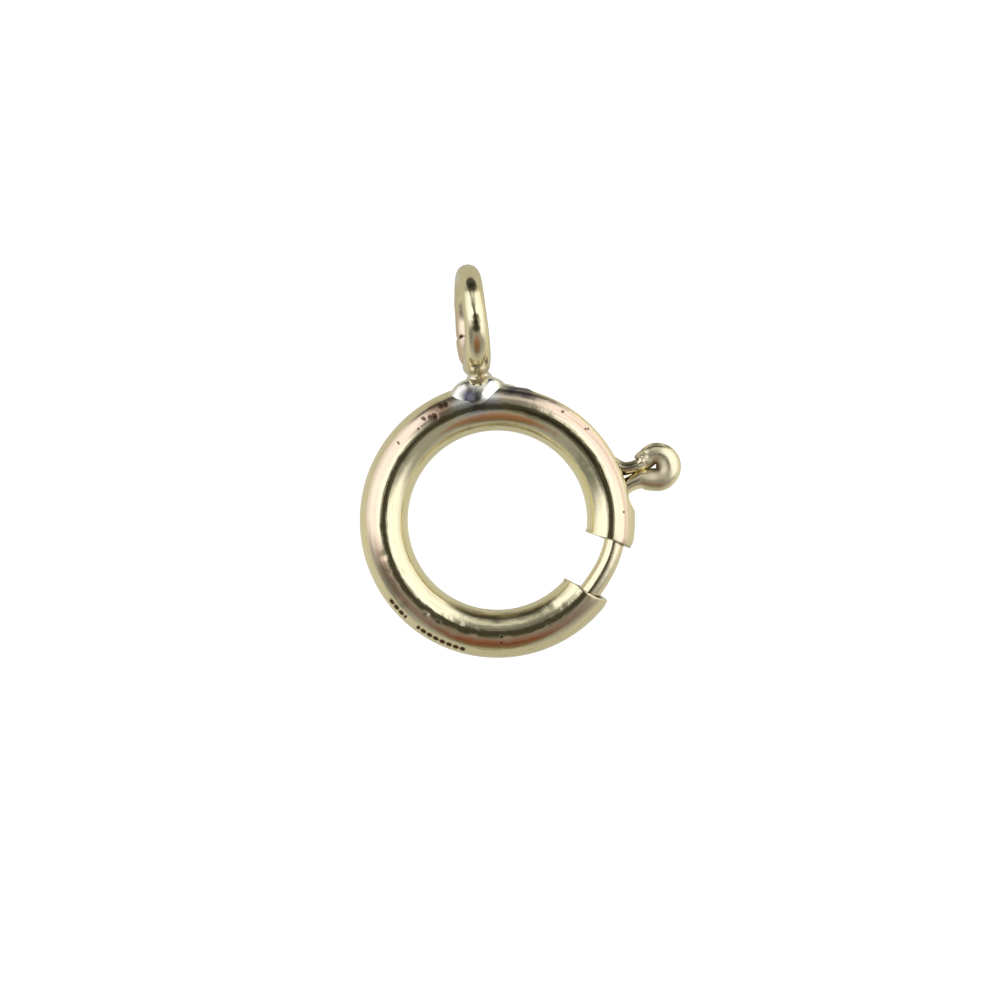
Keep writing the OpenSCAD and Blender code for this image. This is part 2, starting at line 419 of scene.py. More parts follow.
def crimp(bm, s, azimuth, side):
    """Dent pushed into the tube's wall that fills most of its bore."""
    middle, bore = tube_middle(s), tube_bore(s)
    in_wall, still_open, half_length = 0.05, 0.4, 0.2
    reach = degrees(half_length / middle)
    made = bmesh.ops.create_circle(bm, segments=32, radius=bore + in_wall, cap_ends=True)["verts"]
    parts = made + once(e for v in made for e in v.link_edges)
    parts += once(f for v in made for f in v.link_faces)
    kept = bmesh.ops.bisect_plane(bm, geom=parts, plane_co=(-side * bore * still_open, 0, 0),
                                  plane_no=(-side, 0, 0), clear_outer=True)["geom"]
    bmesh.ops.transform(bm, matrix=across_ring(middle, azimuth - reach),
                        verts=only(bmesh.types.BMVert, kept))
    pushed = bmesh.ops.extrude_face_region(bm, geom=only(bmesh.types.BMFace, kept),
                                           use_keep_orig=True)["geom"]
    bmesh.ops.rotate(bm, verts=only(bmesh.types.BMVert, pushed), cent=(0, 0, 0),
                     matrix=Matrix.Rotation(radians(2 * reach), 3, "Z"))


def unroll(bm, s):
    """Keeps for each vertex its place across the tube, how far along it is and if it was sawn."""
    layer = bm.verts.layers.float_vector["along"]
    sawn = bm.verts.layers.float.new("sawn")
    middle, start = tube_middle(s), degrees(s.gap_at)
    bm.normal_update()
    for v in bm.verts:
        azimuth = azimuth_of(v.co.x, v.co.y, start)
        v[layer] = (hypot(v.co.x, v.co.y) - middle, v.co.z, radians(azimuth) * middle)
        onward = out_to(azimuth + start + 90, 1.0)
        v[sawn] = smooth(abs(v.normal.dot(onward)), 0.12, 0.5)


# Nodes

def add(tree, kind, inputs=None, **settings):
    """Adds a node, with values or links for its sockets."""
    made = tree.nodes.new(kind)
    for name, value in settings.items():
        setattr(made, name, value)
    for name, value in (inputs or {}).items():
        socket = made.inputs[name]
        if isinstance(value, bpy.types.NodeSocket):
            tree.links.new(value, socket)
        else:
            socket.default_value = value
    return made


def follow(kind, inputs, **settings):
    """Adds a node to the tree that its linked inputs are in."""
    tree = next(v.id_data for v in inputs.values() if isinstance(v, bpy.types.NodeSocket))
    return add(tree, kind, inputs, **settings)


def reckon(operation, *values):
    """One step of arithmetic on values or sockets."""
    return follow("ShaderNodeMath", dict(enumerate(values)), operation=operation).outputs[0]


def carried(operation, values):
    """A step of arithmetic carried on through any number of values."""
    total = values[0]
    for value in values[1:]:
        total = reckon(operation, total, value)
    return total


def plus(*values):
    """All the values together."""
    return carried("ADD", values)


def minus(*values):
    """The first value less all the others."""
    return carried("SUBTRACT", values)


def times(*values):
    """The values multiplied."""
    return carried("MULTIPLY", values)


def larger(*values):
    """The largest of the values."""
    return carried("MAXIMUM", values)


def distance(x, y):
    """How far a place is from the middle, by its two offsets."""
    return reckon("SQRT", plus(times(x, x), times(y, y)))


def ramp(value, low, high, start=0.0, finish=1.0):
    """Smooth change from start to finish while a value goes from low to high."""
    return follow("ShaderNodeMapRange",
                  {"Value": value, "From Min": low, "From Max": high,
                   "To Min": start, "To Max": finish},
                  interpolation_type="SMOOTHSTEP").outputs["Result"]


def window(value, rise_from, rise_to, fall_from, fall_to):
    """1 between two places, with a soft start and a soft end."""
    return times(ramp(value, rise_from, rise_to), ramp(value, fall_from, fall_to, 1, 0))


def noise(place, scale, detail=2.0):
    """Soft random patches."""
    return follow("ShaderNodeTexNoise",
                  {"Vector": place, "Scale": scale, "Detail": detail}).outputs[0]


def colour(tint):
    """A socket as it is, or three parts of a colour as a node takes them."""
    return tint if isinstance(tint, bpy.types.NodeSocket) else (*tint, 1.0)


def blend_colour(share, under, over):
    """One colour over another."""
    return follow("ShaderNodeMix", {0: share, 6: colour(under), 7: colour(over)},
                  data_type="RGBA").outputs[2]


def layered(shade, *films):
    """A colour under films, each given as how much of it shows and its own colour."""
    for share, tint in films:
        shade = blend_colour(share, shade, tint)
    return shade


def bands(drop, stops):
    """Bands of light, each at an angle from overhead in degrees."""
    made = follow("ShaderNodeValToRGB", {"Fac": reckon("DIVIDE", drop, 100.0)})
    steps = made.color_ramp.elements
    while len(steps) < len(stops):
        steps.new(0.5)
    for step, (at, light) in zip(steps, stops):
        step.position = at / 100
        step.color = colour(light if isinstance(light, tuple) else (light,) * 3)
    made.color_ramp.interpolation = "EASE"
    return made.outputs[0]


ORIGIN = (0.0, 0.0, 0.0)


def new_group(name, inputs, *outputs):
    """An empty shader node group, with a value for each input and the names of its outputs."""
    tree = bpy.data.node_groups.new(name, "ShaderNodeTree")
    for label, value in inputs.items():
        kind = "NodeSocketVector" if value is ORIGIN else "NodeSocketFloat"
        socket = tree.interface.new_socket(name=label, in_out="INPUT", socket_type=kind)
        socket.default_value = value
    for label in outputs:
        tree.interface.new_socket(name=label, in_out="OUTPUT", socket_type="NodeSocketFloat")
    given = tree.nodes.new("NodeGroupInput").outputs
    return tree, given, tree.nodes.new("NodeGroupOutput").inputs


def pits_group(name):
    """Scattered pits: a mask that is strongest in the middle of each."""
    tree, given, out = new_group(
        name, {"Place": ORIGIN, "Spacing": 0.3, "Size": 0.05, "Share": 0.3}, "Pits")
    spacing = given["Spacing"]
    cells = add(tree, "ShaderNodeTexVoronoi",
                {"Vector": given["Place"], "Scale": reckon("DIVIDE", 1.0, spacing)}).outputs
    chance = add(tree, "ShaderNodeSeparateColor", {0: cells["Color"]}).outputs
    chosen = reckon("LESS_THAN", chance[0], given["Share"])
    size = times(given["Size"], plus(0.4, chance[1]))
    away = times(cells["Distance"], spacing)
    tree.links.new(times(ramp(away, 0.0, size, 1.0, 0.0), chosen), out["Pits"])
    return tree


def wear_group(name):
    """Marks along the metal and soft waves across it, as one height."""
    tree, given, out = new_group(
        name, {"Place": ORIGIN, "Lines": 1.0, "Waves": 1.0, "Grain": 0.1}, "Height", "Scuffs")
    place = given["Place"]
    stretched = add(tree, "ShaderNodeMapping", {"Vector": place, "Scale": (26.0, 26.0, 1.3)})
    lines = noise(stretched.outputs[0], 1.0, 3.0)
    high = plus(times(lines, given["Lines"]),
                times(noise(place, 2.6), given["Waves"]),
                times(noise(place, 6.5, 1.0), given["Grain"]))
    tree.links.new(high, out["Height"])
    tree.links.new(ramp(lines, 0.55, 0.75), out["Scuffs"])
    return tree


def stain_group(name):
    """Film on the metal: a mask in patches, that is full near a point and fades away from it."""
    tree, given, out = new_group(
        name, {"Place": ORIGIN, "Centre": ORIGIN, "Reach": 1.0, "Patches": 2.0, "Amount": 1.0},
        "Film")
    place = given["Place"]
    off = add(tree, "ShaderNodeVectorMath", {0: place, 1: given["Centre"]},
              operation="DISTANCE").outputs["Value"]
    near = reckon("DIVIDE", off, given["Reach"])
    edge = plus(near, times(noise(place, given["Patches"], 3.0), 0.9))
    spread = times(ramp(edge, 0.75, 1.45, 1.0, 0.0), given["Amount"])
    tree.links.new(spread, out["Film"])
    return tree


PITS, WEAR, STAIN = "Scattered pits", "Drawn and handled metal", "Patchy film"
EFFECTS = {PITS: pits_group, WEAR: wear_group, STAIN: stain_group}


def use(name, inputs):
    """Places an effect that the metals share in one of them, and builds it the first time."""
    group = bpy.data.node_groups.get(name) or EFFECTS[name](name)
    return follow("ShaderNodeGroup", inputs, node_tree=group).outputs


def film(place, centre, reach, patches, amount=1.0):
    """Mask of a patchy film round a point."""
    return use(STAIN, {"Place": place, "Centre": tuple(centre), "Reach": reach,
                       "Patches": patches, "Amount": amount})["Film"]


def pits_in(place, spacing, size, share):
    """Mask of scattered pits."""
    return use(PITS, {"Place": place, "Spacing": spacing, "Size": size, "Share": share})["Pits"]


# Materials

def metal(name):
    """A new material of bare metal, and its tree."""
    material = bpy.data.materials.new(name)
    material.use_nodes = True
    tree = material.node_tree
    tree.nodes["Principled BSDF"].inputs["Metallic"].default_value = 1.0
    return material, tree


def dress(tree, shade, rough, high, depth):
    """Gives a metal its colour, its roughness and its marks, as deep as given in millimetres."""
    shader = tree.nodes["Principled BSDF"]
    marks = add(tree, "ShaderNodeBump", {"Height": high, "Distance": depth * MM})
    tree.links.new(shade, shader.inputs["Base Color"])
    tree.links.new(rough, shader.inputs["Roughness"])
    tree.links.new(marks.outputs[0], shader.inputs["Normal"])


def in_mm(tree):
    """Place on the piece in the ring's own frame, in millimetres."""
    here = add(tree, "ShaderNodeTexCoord").outputs["Object"]
    return add(tree, "ShaderNodeMapping", {"Vector": here, "Rotation": (-LEAN, 0, 0),
                                           "Scale": (1 / MM,) * 3}).outputs[0]


def along(tree):
    """Place across the wire or tube and along it."""
    return add(tree, "ShaderNodeAttribute", attribute_name="along").outputs["Vector"]


# Azimuths from the gap between which each punched row runs, the step from dot to dot and how far
# round the tube the rows lie, all in degrees, then how far out from its centre line
DOT_ROWS = [(240.0, 251.0), (257.0, 280.0)]
DOT_PITCH, DOT_SIDE, DOT_OUT = 3.1, 37.0, 0.55


def punched_dots(s, across, over, azimuth):
    """Rows of plain punched dots along the outer side of the tube."""
    steps = reckon("DIVIDE", azimuth, DOT_PITCH)
    nearest = minus(steps, reckon("ROUND", steps))
    onward = times(nearest, radians(DOT_PITCH) * (tube_middle(s) + DOT_OUT))
    round_at = reckon("ARCTAN2", over, across)
    upward = times(minus(round_at, radians(DOT_SIDE)), mm(s.tube_od) / 2)
    dot = ramp(distance(onward, upward), 0.065, 0.115, 1.0, 0.0)
    rows = [times(reckon("GREATER_THAN", azimuth, low), reckon("LESS_THAN", azimuth, high))
            for low, high in DOT_ROWS]
    return times(dot, plus(*rows))


# Azimuth from the gap, distance outwards and size of the larger brown spots on the ring's top,
# then the radius at which they lie
SPOTS = [
    (27.8, 0.36, 0.045), (69.3, 0.42, 0.045), (70.1, 0.37, 0.045), (83.2, 0.36, 0.055),
    (138.2, 0.36, 0.120), (140.0, 0.38, 0.110), (145.2, 0.21, 0.130), (146.8, 0.25, 0.100),
    (149.9, 0.34, 0.070), (149.6, 0.29, 0.060),
    (154.6, 0.18, 0.045), (166.0, 0.35, 0.045), (166.2, 0.30, 0.040), (296.0, 0.25, 0.045),
]
SPOT_RADIUS = 3.6


def brown_spots(across, over, azimuth):
    """The larger brown spots, each at its own place."""
    marks = []
    for at, out, size in SPOTS:
        aside = times(minus(azimuth, at), radians(SPOT_RADIUS))
        off = distance(aside, minus(across, out))
        marks.append(ramp(off, 0.3 * size, 1.2 * size, 0.9, 0))
    return times(larger(*marks), reckon("GREATER_THAN", over, 0))


def ring_material(s, c):
    """Pale gold of the tube, with pits, films, the torch's stain, painted shade in the bore, at
    the sawn mouths and in dark strips, and the punched dots.

    Azimuths are in degrees from the gap, and across is outwards from the tube's centre line.
    """
    material, tree = metal("Pale gold tube")
    run, place = along(tree), in_mm(tree)
    parts = add(tree, "ShaderNodeSeparateXYZ", {0: run}).outputs
    across, over = parts[0], parts[1]
    azimuth = times(parts[2], degrees(1 / tube_middle(s)))
    pits, specks = pits_in(run, 0.9, 0.06, 0.22), pits_in(run, 0.28, 0.02, 0.16)
    lower = window(azimuth, 218, 236, 330, 345)
    ruffled = plus(0.3, lower, times(window(azimuth, 40, 60, 130, 150), 0.8))
    wear = use(WEAR, {"Place": run, "Lines": 0.45, "Waves": ruffled, "Grain": times(ruffled, 0.4)})
    streaks = use(WEAR, {"Place": run, "Lines": 1.0, "Waves": 0.0})
    ragged = plus(across, times(minus(streaks["Height"], 0.5), 0.16))

    def strip(along_from, along_to, inner, outer, soft, share):
        """Mask of a ragged strip along the tube."""
        sides = window(ragged, inner - soft, inner, outer, outer + soft)
        ends = window(azimuth, along_from - 12, along_from, along_to, along_to + 16)
        return times(sides, ends, share)

    rose = times(window(across, 0.10, 0.20, 0.46, 0.54), window(azimuth, 8, 14, 222, 244),
                 film(place, (0.0, 3.0, 0.3), 9.0, 0.9, 0.95))
    line_at = minus(0.43, times(azimuth, 0.0013))
    off_line = reckon("ABSOLUTE", minus(across, line_at))
    line = times(ramp(off_line, 0.010, 0.055, 0.8, 0), window(azimuth, 8, 12, 74, 96))
    worn = times(window(azimuth, 206, 230, 330, 358), window(ragged, 0.02, 0.20, 0.29, 0.40))
    mauve = larger(worn, film(place, (-1.26, 3.34, 0.6), 0.5, 3.0, 0.9))
    silver = film(place, (-0.14, 3.65, 0.6), 1.05, 1.6)
    # Darker along the outer side of the tube between the slot's far end and the solder
    dark_outer_edge = times(film(place, (1.15, 3.78, 0.2), 0.85, 2.6), ramp(ragged, 0.26, 0.33))
    heat_stain_and_shade = larger(dark_outer_edge, film(place, (-0.10, 3.39, 0.7), 0.32, 3.4, 0.5))
    scuffed = times(streaks["Scuffs"], plus(0.2, times(lower, 0.25)))
    # Painted shade: one dark strip is the camera's shade as mirrored on the inner top of the tube,
    # another is shade on the lower inner side by the hole, the third is a thin dark line along the
    # inner rim; the scuffs are real wear
    painted_shade_and_scuffs = larger(strip(46, 96, -0.14, -0.03, 0.05, 0.65),
                   strip(272, 318, -0.56, -0.45, 0.07, 0.65),
                   strip(76, 140, -0.553, -0.541, 0.02, 0.55), scuffed)
    # Painted shade: the inside of the bore and the sawn faces at the two mouths are darkened with
    # the brown tarnish colour
    in_bore = ramp(distance(across, over), 0.51, 0.56, 0.75, 0)
    lips = larger(ramp(azimuth, 17, 20, 1, 0),
                  times(ramp(azimuth, 338, 342), ramp(across, -0.05, 0.1, 1, 0)))
    cut = add(tree, "ShaderNodeAttribute", attribute_name="sawn").outputs["Fac"]
    dots = punched_dots(s, across, over, azimuth)
    spots = brown_spots(across, over, azimuth)
    brown = larger(pits, spots, dots, times(specks, 0.7))
    shade = layered(c.gold, (rose, c.rose), (line, c.salmon), (mauve, c.mauve),
                    (silver, c.silver), (heat_stain_and_shade, c.heat_stain_and_shade), (painted_shade_and_scuffs, c.painted_shade_and_scuffs),
                    (larger(in_bore, times(cut, lips, 0.85)), c.tarnish_and_shade), (brown, c.tarnish_and_shade))
    rough = plus(0.13, times(wear["Scuffs"], 0.06), times(dots, 0.4))
    high = minus(wear["Height"], times(pits, 1.2), times(dots, 4.0), spots)
    dress(tree, shade, rough, high, 0.006)
    return material


def wire_material(name, base, c, rough, marks, knock=None):
    """Pale gold wire with the marks of its drawing, and places that carry stains, painted shade or
    dulling.

    Each mark is a centre, a reach, a colour, how much of it shows and how much it dulls. A
    place given as knock was hammered too.
    """
    material, tree = metal(name)
    run, place = along(tree), in_mm(tree)
    wear = use(WEAR, {"Place": run, "Lines": 0.4, "Waves": 0.8, "Grain": 0.25})
    pits = pits_in(run, 0.5, 0.04, 0.15)
    rough = plus(rough, times(wear["Scuffs"], 0.08))
    shade = base
    # Marks given by the callers include real stains and painted shade
    for centre, reach, tint, share, dulled in marks:
        stain_and_shade = film(place, centre, reach, 2.5)
        shade = blend_colour(times(stain_and_shade, share), shade, tint)
        rough = plus(rough, times(stain_and_shade, dulled))
    shade = blend_colour(times(pits, 0.7), shade, c.tarnish_and_shade)
    high = minus(wear["Height"], pits)
    if knock is not None:
        hammered = film(place, knock, 0.24, 2.0)
        high = plus(high, times(noise(place, 6.0), hammered, 8.0))
    dress(tree, shade, rough, high, 0.006)
    return material


def solder_material(c):
    """Bright solder, with dark grey painted as shade in the cleft between its two lobes."""
    material, tree = metal("Silvery solder")
    place = in_mm(tree)
    # Painted shade: this dark grey film darkens the cleft between the two lobes of solder
    heat_stain_and_shade = film(place, (-0.29, 3.62, 0.55), 0.40, 1.5)
    wear = use(WEAR, {"Place": place, "Lines": 0.0, "Waves": 1.2})
    dress(tree, blend_colour(heat_stain_and_shade, c.solder, c.heat_stain_and_shade),
          plus(0.13, times(heat_stain_and_shade, 0.12)), wear["Height"], 0.012)
    return material


def spring_material(c):
    """Bright drawn steel with fine lines along the wire."""
    material, tree = metal("Spring steel")
    wear = use(WEAR, {"Place": along(tree), "Lines": 1.0, "Waves": 0.2})
    shade = blend_colour(times(wear["Scuffs"], 0.5), c.steel, c.scuffed_steel)
    dress(tree, shade, plus(0.2, times(wear["Scuffs"], 0.15)), wear["Height"], 0.003)
    return material


# Operators

class CLASP_OT_ring_tube(bpy.types.Operator):
    """Bend the hollow tube of the ring, with its gap, slot and inner dents."""

    bl_idname = "clasp.ring_tube"
    bl_label = "Ring tube"

    def execute(self, context):
        s, c = context.scene.clasp_sizes, context.scene.clasp_colours
        bm = new_mesh()
        tube_shell(bm, s)
        crimp(bm, s, degrees(s.tip_dent), 1)
        crimp(bm, s, degrees(s.spring_dent), -1)
        unroll(bm, s)
        finish_piece(bm, "ring_tube", ring_material(s, c), "ring", ["ring_and_loop"])
        return {"FINISHED"}


# Degrees of the loop that the saw took away, and how far its burr stands up
LOOP_CUT, BURR = 0.3, 0.03


def bend_loop(bm, centre):
    """Bends the standing loop out of true, as the hand that closed it did.

    It's pushed aside by its joint and at its top, and flattened at its foot.
    """
    layer = bm.verts.layers.float_vector["along"]
    for v in bm.verts:
        round_at = azimuth_of(v.co.y - centre, v.co.z)
        joint = smooth(round_at, 200, 226) * (1 - smooth(round_at, 236, 290))
        top = 1 - smooth(abs((round_at + 60) % 360 - 60), 15, 80)
        foot = smooth(round_at, 84, 146) * (1 - smooth(round_at, 190, 205))
        v.co.x += 0.05 * top - 0.09 * joint - 0.03 * foot + v[layer].y * (0.04 + 0.15 * foot)


class CLASP_OT_chain_loop(bpy.types.Operator):
    """Bend the chain loop from round wire, with its butt joint."""

    bl_idname = "clasp.chain_loop"
    bl_label = "Chain loop"

    def execute(self, context):
        s, c = context.scene.clasp_sizes, context.scene.clasp_colours
        wire = mm(s.loop_wire)
        radius = (mm(s.loop_od) - wire) / 2
        centre = mm(s.ring_od) / 2 + mm(s.loop_lift) + mm(s.loop_od) / 2
        bm = new_mesh()
        sweep(bm, section(bm, wire / 2, 40, radius, LOOP_CUT / 2), 360 - LOOP_CUT, 180)
        layer = bm.verts.layers.float_vector["along"]
        for v in bm.verts:
            turned = azimuth_of(v.co.x, v.co.y)
            v[layer] = (hypot(v.co.x, v.co.y) - radius, v.co.z, radians(turned) * radius)
            v.co.z += BURR * exp(-(turned / 9.0) ** 2)
        close_ends(bm)
        ease_edges(bm, sharp(bm), mm(s.loop_edge))
        stand = (Matrix.Translation((0, centre, 0))
                 @ Matrix.Rotation(radians(90) + s.loop_lean, 4, "Y")
                 @ Matrix.Rotation(radians(90) + s.loop_joint, 4, "Z"))
        bmesh.ops.transform(bm, matrix=stand, verts=bm.verts)
        bend_loop(bm, centre)
        # Painted reflection: the four dark marks on the loop's crest stand for the dark camera
        # mirrored there
        marks = [((-0.4, 5.0, -1.0), 1.9, c.rose, 0.85, 0.16),
                 ((0.05, 4.30, 0.5), 0.5, c.tarnish_and_shade, 0.3, 0.25),
                 ((0.11, 6.75, 1.36), 0.28, c.painted_shade_and_scuffs, 1.0, 0.05),
                 ((0.13, 5.86, 1.65), 0.14, c.painted_shade_and_scuffs, 1.0, 0.1),
                 ((0.13, 5.71, 1.65), 0.19, c.painted_shade_and_scuffs, 1.0, 0.1),
                 ((0.12, 5.55, 1.62), 0.17, c.painted_shade_and_scuffs, 1.0, 0.1),
                 ((-0.37, 5.46, -1.0), 0.12, c.tarnish_and_shade, 1.0, 0.2)]
        finish_piece(bm, "chain_loop", wire_material("Loop gold", c.gold, c, 0.13, marks),
                     "ring", ["ring_and_loop"])
        return {"FINISHED"}


# Middle, half sizes and turn of each drop of solder in the ring's frame, then which way its
# top leans and by how much, in degrees
DROPS = [
    ((-0.47, 3.69, 0.38), (0.56, 0.42, 0.26), 38, 148, 20),
    ((0.09, 3.71, 0.42), (0.60, 0.42, 0.26), 30, 44, 17),
    ((-0.44, 3.66, -0.04), (0.46, 0.42, 0.42), 0, 0, 0),
    ((0.30, 3.70, -0.04), (0.48, 0.44, 0.42), 0, 0, 0),
    ((0.01, 4.02, -0.12), (0.42, 0.42, 0.42), 0, 0, 0),
    ((0.72, 3.66, 0.02), (0.44, 0.24, 0.28), -12, 0, 0),
    ((-0.80, 3.60, 0.02), (0.28, 0.22, 0.26), 12, 0, 0),
]


class CLASP_OT_solder(bpy.types.Operator):
    """Run solder round the foot of the chain loop."""

    bl_idname = "clasp.solder"
    bl_label = "Solder"

    def execute(self, context):
        c = context.scene.clasp_colours
        bm = bmesh.new()
        for middle, halves, turned, way, lean in DROPS:
            hinge = out_to(way + 90, 1.0)
            place = (Matrix.Translation(middle) @ Matrix.Rotation(radians(lean), 4, hinge)
                     @ Matrix.Rotation(radians(turned), 4, "Z")
                     @ Matrix.Diagonal((*halves, 1.0)))
            bmesh.ops.create_icosphere(bm, subdivisions=4, radius=1.0, matrix=place)
        piece = finish_piece(bm, "solder", solder_material(c), "ring",
                             ["ring_and_loop"])
        melt = piece.modifiers.new("Melt together", "REMESH")
        melt.mode = "VOXEL"
        melt.voxel_size = 0.022 * MM
        melt.use_smooth_shade = True
        settle = piece.modifiers.new("Run smooth", "SMOOTH")
        settle.factor = 0.5
        settle.iterations = 24
        return {"FINISHED"}


def wire_path(points, per_span):
    """Smooth run through points of the trigger, by a spline that passes them all."""
    path = []
    for i in range(1, len(points) - 2):
        p0, p1, p2, p3 = points[i - 1:i + 3]
        for k in range(per_span):
            t = k / per_span
            path.append(tuple(
                0.5 * (2 * b + (c - a) * t + (2 * a - 5 * b + 4 * c - d) * t * t
                       + (3 * b - a - 3 * c + d) * t ** 3)
                for a, b, c, d in zip(p0, p1, p2, p3)))
    path.append(tuple(points[-2]))
    return path


def trigger_points(s):
    """Points of the bent wire: outwards along the neck, across it, half width, half height.

    The tongue comes first, then the leg beside it, the eye and the other leg.
    """
    radius, half = mm(s.tongue_out), mm(s.tongue_wire) / 2
    tip = degrees(s.tip_at) - degrees(s.trigger_at)

    def on_arc(azimuth):
        bent = smooth(azimuth, -55, -30)
        thick = half + 0.02 - 0.014 * bent
        return (*out_to(azimuth, radius - 0.04 + 0.055 * bent).xy, thick, thick)

    points = [on_arc(tip + k * (-15.0 - tip) / 26) for k in range(27)]
    points += [
        (3.352, -0.705, 0.285, 0.290), (3.50, -0.49, 0.255, 0.315), (3.68, -0.325, 0.235, 0.335),
        (3.90, -0.238, 0.228, 0.345), (4.14, -0.204, 0.236, 0.345), (4.34, -0.196, 0.280, 0.335),
        (4.53, -0.262, 0.320, 0.325),
    ]
    for turned in range(-112, 129, 16):
        a = radians(turned)
        pressed = 0.055 * max(0.0, cos(a)) ** 2 - 0.03 * smooth(turned, 90, 128)
        out = 0.380 - max(0.0, pressed)
        wide = 0.315 + pressed + 0.022 * smooth(-turned, 50, 100)
        points.append((4.895 + out * cos(a), 0.012 + out * sin(a), wide, 0.300))
    points += [
        (4.565, 0.325, 0.270, 0.310), (4.47, 0.255, 0.235, 0.322), (4.36, 0.225, 0.185, 0.335),
        (4.16, 0.222, 0.184, 0.345), (3.95, 0.258, 0.205, 0.345), (3.76, 0.375, 0.24, 0.335),
        (3.59, 0.600, 0.24, 0.315), (3.44, 0.810, 0.285, 0.292), on_arc(16.2), on_arc(18.6),
        on_arc(21.0),
    ]
    return points


class CLASP_OT_tongue(bpy.types.Operator):
    """Bend the tongue, the two legs of the neck and the trigger's eye from one wire."""

    bl_idname = "clasp.tongue"
    bl_label = "Tongue and trigger"

    def execute(self, context):
        s, c = context.scene.clasp_sizes, context.scene.clasp_colours
        path = wire_path(trigger_points(s), 5)
        stations = []
        for i, (u, v, wide, high) in enumerate(path):
            before, after = path[max(0, i - 1)], path[min(len(path) - 1, i + 1)]
            way = Vector((after[0] - before[0], after[1] - before[1], 0)).normalized()
            side = Vector((0, 0, 1)).cross(way)
            place = Matrix((side, (0, 0, 1), way)).transposed().to_4x4()
            place.translation = (u, v, 0)
            stations.append((place, wide, high))
        bm = new_mesh()
        draw_wire(bm, stations, 32)
        ease_edges(bm, end_edges(bm), mm(s.tip_edge), 4)
        bmesh.ops.rotate(bm, verts=bm.verts, cent=(0, 0, 0),
                         matrix=Matrix.Rotation(s.trigger_at, 3, "Z"))
        at = degrees(s.trigger_at)
        # Painted shade: the dark marks darken the upper leg, the upper rim of the eye and a little
        # of its lower side, and the brown mark darkens the eye's hole
        marks = [(out_to(at + 6.0, 4.18, 0.15), 0.44, c.painted_shade_and_scuffs, 1.0, 0.0),
                 (out_to(at + 8.1, 4.63, 0.05), 0.20, c.painted_shade_and_scuffs, 0.8, 0.1),
                 (out_to(at + 7.7, 5.10, 0.05), 0.24, c.painted_shade_and_scuffs, 0.8, 0.1),
                 (out_to(at + 4.8, 5.40, 0.05), 0.20, c.painted_shade_and_scuffs, 0.8, 0.1),
                 (out_to(at, 4.90, 0.30), 0.62, c.wire_gold, 0.2, 0.20),
                 (out_to(at - 6.3, 4.70, 0.15), 0.62, c.painted_shade_and_scuffs, 0.25, 0.17),
                 (out_to(at + 0.5, 4.80, 0.12), 0.28, c.tarnish_and_shade, 0.6, 0.1)]
        material = wire_material("Trigger gold", c.wire_gold, c, 0.17, marks,
                                 knock=out_to(at + 5.2, 4.56, 0.32))
        finish_piece(bm, "tongue_and_trigger_wire", material, "tongue",
                     ["tongue_and_trigger"])
        return {"FINISHED"}


class CLASP_OT_spring(bpy.types.Operator):
    """Wind the coil spring and bend it into the tube."""

    bl_idname = "clasp.spring"
    bl_label = "Coil spring"

    def execute(self, context):
        s, c = context.scene.clasp_sizes, context.scene.clasp_colours
        middle, coil = tube_middle(s), mm(s.spring_out)
        start, finish = degrees(s.spring_from), degrees(s.spring_to)
        run = radians(finish - start) * middle
        per_turn = 24
        steps = per_turn * s.spring_turns
        bm = new_mesh()
        ring = section(bm, mm(s.spring_wire) / 2, 10, coil, 0)
        sweep(bm, ring, 360 * s.spring_turns, steps, rise=(0, 0, run / steps))
        close_ends(bm)
        layer = bm.verts.layers.float_vector["along"]
        for v in bm.verts:
            x, y, z = v.co
            v[layer] = (hypot(x, y) - coil, z, atan2(y, x) * coil)
            v.co = out_to(start + degrees(z / middle), middle + x, y)
        spring = finish_piece(bm, "coil_spring_wire", spring_material(c), None,
                              ["coil_spring"])
        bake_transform(spring)
        return {"FINISHED"}


# How the photograph's frame is turned, its width, and how far right of its middle and above it
# the ring's centre is
PHOTO_TURN = radians(-7.4)
PHOTO_WIDTH = 29.04
RING_RIGHT, RING_UP = -0.0755, -0.5837


def photo_axes():
    """Right, up and towards the camera, in the row frame."""
    lying = Matrix.Rotation(LEAN, 3, "X") @ Matrix.Rotation(PHOTO_TURN, 3, "Z")
    return lying.col[0].copy(), lying.col[1].copy(), lying.col[2].copy()


# The light. Each place round the clasp is given by its azimuth in the photograph and its drop
# from overhead, in degrees.

def tent_sides(drop, azimuth):
    """White cloth that is darker lower down, with a lit patch low at the right."""
    cloth = bands(drop, [(at, (light, light, 1.09 * light)) for at, light in (
        (0, 1.5), (26, 1.5), (40, 1.26), (58, 1.32), (68, 1.24), (76, 1.08), (84, 0.98),
        (94, 0.85))])
    patch = times(window(azimuth, 2, 24, 56, 68), ramp(drop, 76, 86))
    return blend_colour(patch, cloth, (1.25, 1.2, 1.15))


def backdrop(drop, azimuth, high):
    """Where the backdrop above the clasp stands, and its cloth, dim but for one line of light."""
    cloth = bands(drop, [(14, 0.18), (30, 0.25), (40, 0.50), (48, 0.76), (56, 0.64),
                         (62, 0.46), (69, 0.25), (77, 0.13), (94, 0.08)])
    cloth = blend_colour(ramp(azimuth, 102, 116, 0.0, 0.6), cloth, (0.10, 0.10, 0.09))
    spread = ramp(drop, 74, 86, 0, 9)
    near_edge = plus(azimuth, spread, times(high, 6))
    far_edge = minus(azimuth, plus(spread, ramp(drop, 34, 46, 12, 0)))
    place = times(ramp(near_edge, 61, 78), ramp(far_edge, 114, 130, 1, 0))
    return place, cloth


